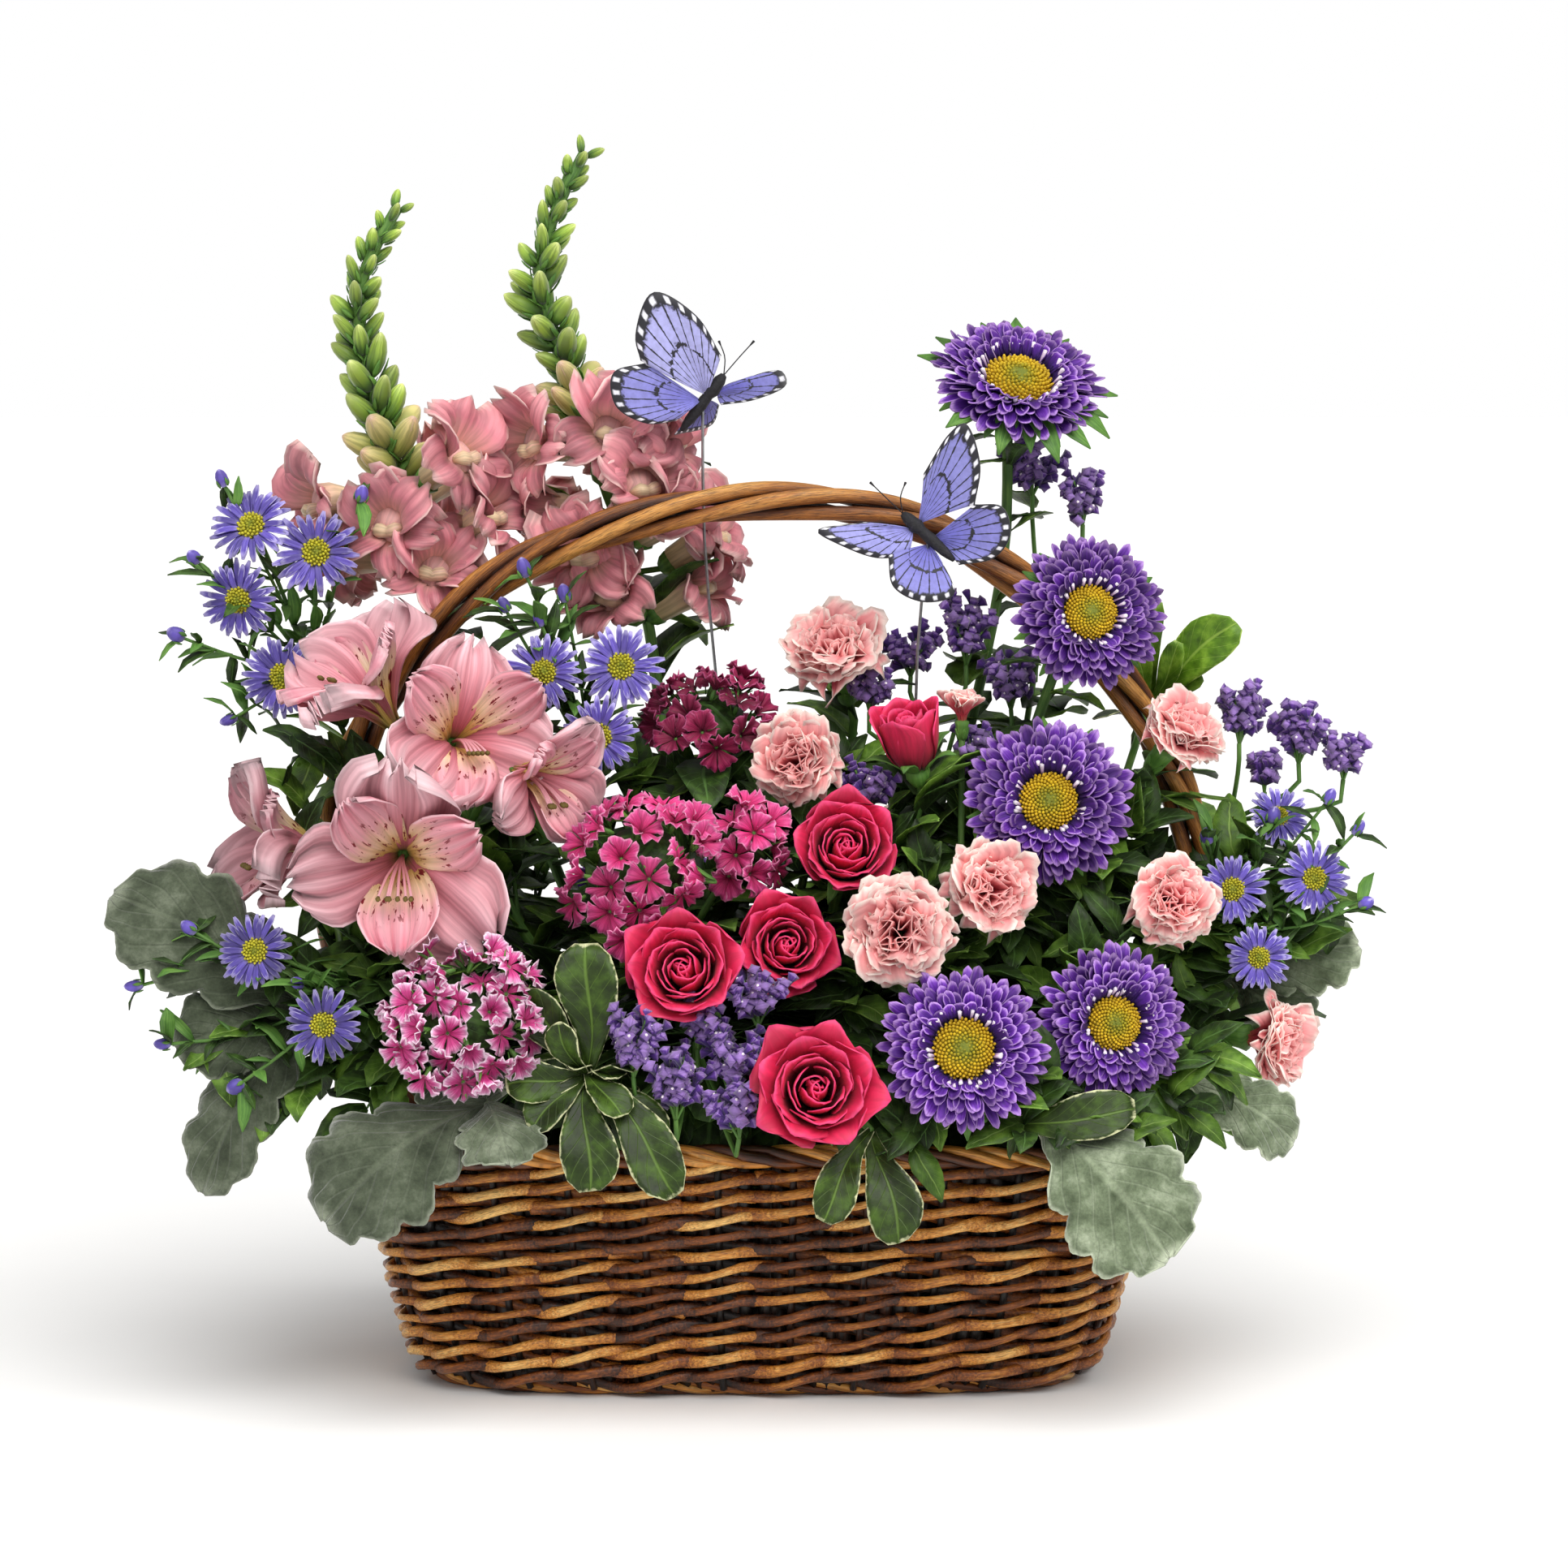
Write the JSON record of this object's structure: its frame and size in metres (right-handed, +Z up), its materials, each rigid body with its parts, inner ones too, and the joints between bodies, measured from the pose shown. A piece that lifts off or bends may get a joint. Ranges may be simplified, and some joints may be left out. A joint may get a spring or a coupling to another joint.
{
  "type": "flower basket arrangement",
  "caption": "Willow basket with a twisted arched handle, filled with cut flowers and leaves set in foam, with wired butterflies, for a table or shelf.",
  "frame": {"origin": "centre of the basket's underside, on the surface that it stands on", "axes": "+X along the basket to the right as seen from the front, +Y to its back, +Z up"},
  "size_m": [0.4962, 0.276, 0.4852],
  "materials": {
    "willow": "stained and varnished peeled willow, satin",
    "liner": "thin moulded dark green plastic",
    "foam": "soaked open-celled floral foam, fully matte",
    "rose": "hot pink velvety petals on green stems",
    "aster": "purple ray petals round a yellow disc",
    "daisy": "blue-violet ray petals round a yellow-green disc",
    "carnation": "light pink ruffled petals, green calyx and stem",
    "sweet_william": "magenta florets, some with white edges",
    "alstroemeria": "pink petals with a yellow throat and dark red flecks",
    "statice": "dry papery purple florets on green branches",
    "snapdragon": "pink florets below green buds",
    "dusty_miller": "grey-green felted leaves with a white edge",
    "leaf": "waxy green leaves with a cream margin",
    "butterfly": "painted feather wings with black veins",
    "wire": "bare florist's wire"
  },
  "bodies": {
    "root": {"basket_base": "willow", "basket_foot_border": "willow", "basket_wall": "willow", "basket_rim": "willow", "handle_rod_1": "willow", "handle_rod_2": "willow", "handle_rod_3": "willow", "handle_rod_4": "willow", "liner": "liner", "floral_foam": "foam", "rose_front": "rose", "rose_left": "rose", "rose_middle": "rose", "rose_upper": "rose", "rose_bud": "rose", "aster_top": "aster", "aster_upper": "aster", "aster_middle": "aster", "aster_front": "aster", "aster_right": "aster", "aster_back": "aster", "carnation_high": "carnation", "carnation_middle": "carnation", "carnation_front": "carnation", "carnation_right": "carnation", "carnation_upright": "carnation", "carnation_low": "carnation", "carnation_back": "carnation", "carnation_spray": "carnation", "sweet_william_high": "sweet_william", "sweet_william_front": "sweet_william", "sweet_william_middle": "sweet_william", "daisies_left_high": "daisy", "daisies_centre": "daisy", "daisies_left_low": "daisy", "daisies_right": "daisy", "alstroemeria_upper": "alstroemeria", "alstroemeria_lower": "alstroemeria", "statice_front": "statice", "statice_back": "statice", "statice_tall": "statice", "statice_right": "statice", "snapdragon_left": "snapdragon", "snapdragon_right": "snapdragon", "dusty_miller_left": "dusty_miller", "dusty_miller_front_left": "dusty_miller", "dusty_miller_front_right": "dusty_miller", "dusty_miller_right": "dusty_miller", "dusty_miller_right_high": "dusty_miller", "dusty_miller_back": "dusty_miller", "pittosporum_left": "leaf", "pittosporum_front": "leaf", "pittosporum_right": "leaf", "pittosporum_upper_right": "leaf", "pittosporum_back_left": "leaf", "pittosporum_back_right": "leaf", "butterfly_left": "butterfly", "butterfly_left_wire": "wire", "butterfly_right": "butterfly", "butterfly_right_wire": "wire"}
  },
  "joints": []
}
